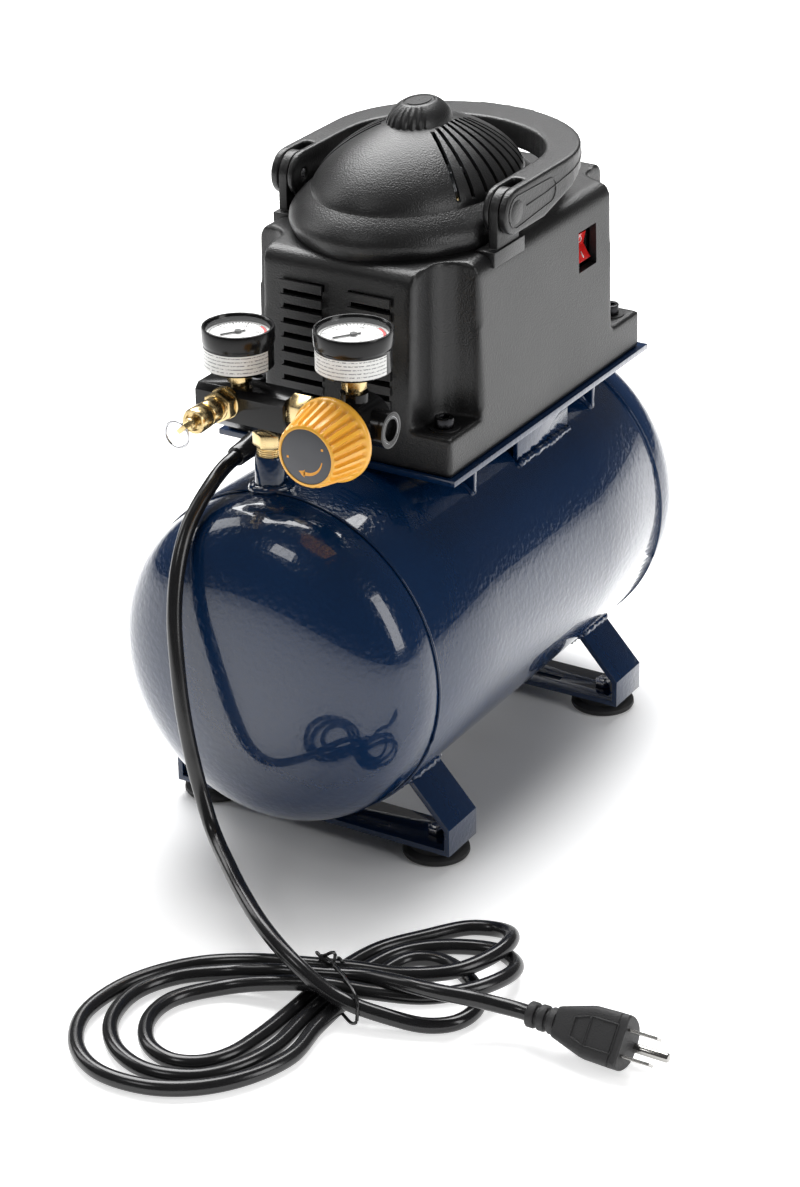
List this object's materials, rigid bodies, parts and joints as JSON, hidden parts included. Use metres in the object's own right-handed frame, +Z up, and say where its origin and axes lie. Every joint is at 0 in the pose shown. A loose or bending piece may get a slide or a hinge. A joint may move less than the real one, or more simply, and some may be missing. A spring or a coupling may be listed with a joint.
{
  "type": "air compressor",
  "caption": "small oil-free air compressor: a lying tank on strap feet carries a shrouded piston pump with a folding handle, gauges, a regulator, a relief valve and a tied mains lead",
  "frame": {"origin": "on the floor under the middle of the compressor, cord left out", "axes": "+Z up, tank along Y with the gauges at -Y, switch on the +X side"},
  "size_m": [0.3558, 0.5379, 0.372],
  "materials": {
    "navy_paint": "gloss enamel with light orange peel",
    "shroud_plastic": "fine moulded texture",
    "gloss_black": "gloss black",
    "rubber": "matt rubber",
    "cord_black": "satin PVC",
    "brass": "machined",
    "zinc_steel": "zinc plated",
    "black_steel": "black oxide",
    "red_plastic": "gloss moulded",
    "yellow_plastic": "satin moulded",
    "grey_print": "printed disc",
    "dial_white": "printed dial",
    "clear_lens": "clear window",
    "cast_alloy": "die cast",
    "rotor_metal": "laminations and copper",
    "stator_steel": "laminated steel"
  },
  "bodies": {
    "base": {"tank_shell": "navy_paint", "tank_head_front": "navy_paint", "tank_head_rear": "navy_paint", "outlet_bung": "navy_paint", "drain_bung": "navy_paint", "drain_valve_body": "brass", "foot_bracket_front": "navy_paint", "foot_bracket_rear": "navy_paint", "rubber_feet": "rubber", "foot_screws": "zinc_steel", "saddle_plate": "navy_paint", "saddle_brackets": "navy_paint", "shroud": "shroud_plastic", "dome_cover": "shroud_plastic", "dome_cap": "shroud_plastic", "handle_posts": "shroud_plastic", "shroud_screws": "black_steel", "switch_body": "gloss_black", "strain_relief": "rubber", "manifold": "gloss_black", "elbow_fitting": "brass", "manifold_nipple": "brass", "tank_gauge": "gloss_black", "tank_gauge_dial": "dial_white", "tank_gauge_lens": "clear_lens", "outlet_gauge": "gloss_black", "outlet_gauge_dial": "dial_white", "outlet_gauge_lens": "clear_lens", "regulator_body": "gloss_black", "regulator_diaphragm": "rubber", "regulator_spring": "zinc_steel", "relief_body": "brass", "pump_frame": "cast_alloy", "pump_cylinder": "cast_alloy", "valve_plate": "zinc_steel", "cylinder_head": "cast_alloy", "motor_stator": "stator_steel", "bearings": "zinc_steel", "rear_bracket": "cast_alloy", "discharge_line": "brass", "cord_drop": "cord_black", "cord_bundle": "cord_black", "cord_tie": "cord_black", "cord_lead": "cord_black", "plug": "cord_black"},
    "carry_handle": {"handle": "shroud_plastic", "handle_pins": "zinc_steel"},
    "rocker_key": {"rocker": "red_plastic"},
    "knob": {"regulator_knob": "yellow_plastic", "knob_disc": "grey_print"},
    "tank_needle": {"tank_gauge_needle": "black_steel"},
    "outlet_needle": {"outlet_gauge_needle": "black_steel"},
    "stem": {"relief_stem": "brass"},
    "ring": {"pull_ring": "zinc_steel"},
    "drain_key": {"drain_screw": "brass"},
    "crank": {"motor_shaft": "zinc_steel", "motor_rotor": "rotor_metal", "fan": "shroud_plastic"},
    "rod": {"connecting_rod": "cast_alloy"},
    "piston_body": {"piston": "cast_alloy"}
  },
  "joints": [
    {"name": "handle_fold", "type": "hinge", "parent": "base", "child": "carry_handle", "pos_m": [0, -0.011, 0.33], "axis": [1, 0, 0], "range_deg": [0, 100]},
    {"name": "rocker_tilt", "type": "hinge", "parent": "base", "child": "rocker_key", "pos_m": [0.0575, 0.076, 0.28275], "axis": [0, 1, 0], "range_deg": [0, 16]},
    {"name": "knob_turn", "type": "hinge", "parent": "base", "child": "knob", "pos_m": [0.0395, -0.118, 0.248], "axis": [0, -1, 0], "range_deg": [-360, 360]},
    {"name": "tank_needle_turn", "type": "hinge", "parent": "base", "child": "tank_needle", "pos_m": [-0.0296, -0.118, 0.283], "axis": [0, 0, -1], "range_deg": [0, 270]},
    {"name": "outlet_needle_turn", "type": "hinge", "parent": "base", "child": "outlet_needle", "pos_m": [0.0378, -0.118, 0.294], "axis": [0, 0, -1], "range_deg": [0, 270]},
    {"name": "relief_pull", "type": "slide", "parent": "base", "child": "stem", "axis": [0, -1, 0], "range_m": [0, 0.003], "stiffness_N_per_m": 800, "springref_m": -0.004},
    {"name": "ring_swing", "type": "hinge", "parent": "stem", "child": "ring", "pos_m": [-0.032, -0.1643, 0.248], "axis": [-0.7071, 0, 0.7071], "range_deg": [-15, 80]},
    {"name": "drain_turn", "type": "hinge", "parent": "base", "child": "drain_key", "pos_m": [0, 0.02, 0.02], "axis": [0, 0, 1], "range_deg": [0, 360]},
    {"name": "motor_spin", "type": "hinge", "parent": "base", "child": "crank", "pos_m": [0, 0, 0.25], "axis": [0, 1, 0], "continuous": true},
    {"name": "rod_swing", "type": "hinge", "parent": "crank", "child": "rod", "pos_m": [0.007, 0, 0.25], "axis": [0, 1, 0], "continuous": true},
    {"name": "piston_slide", "type": "slide", "parent": "base", "child": "piston_body", "axis": [0, 0, 1], "range_m": [-0.007, 0.007]}
  ],
  "couplings": [
    {"joint": "rod_swing", "follows": "motor_spin", "ratio": -1}
  ]
}
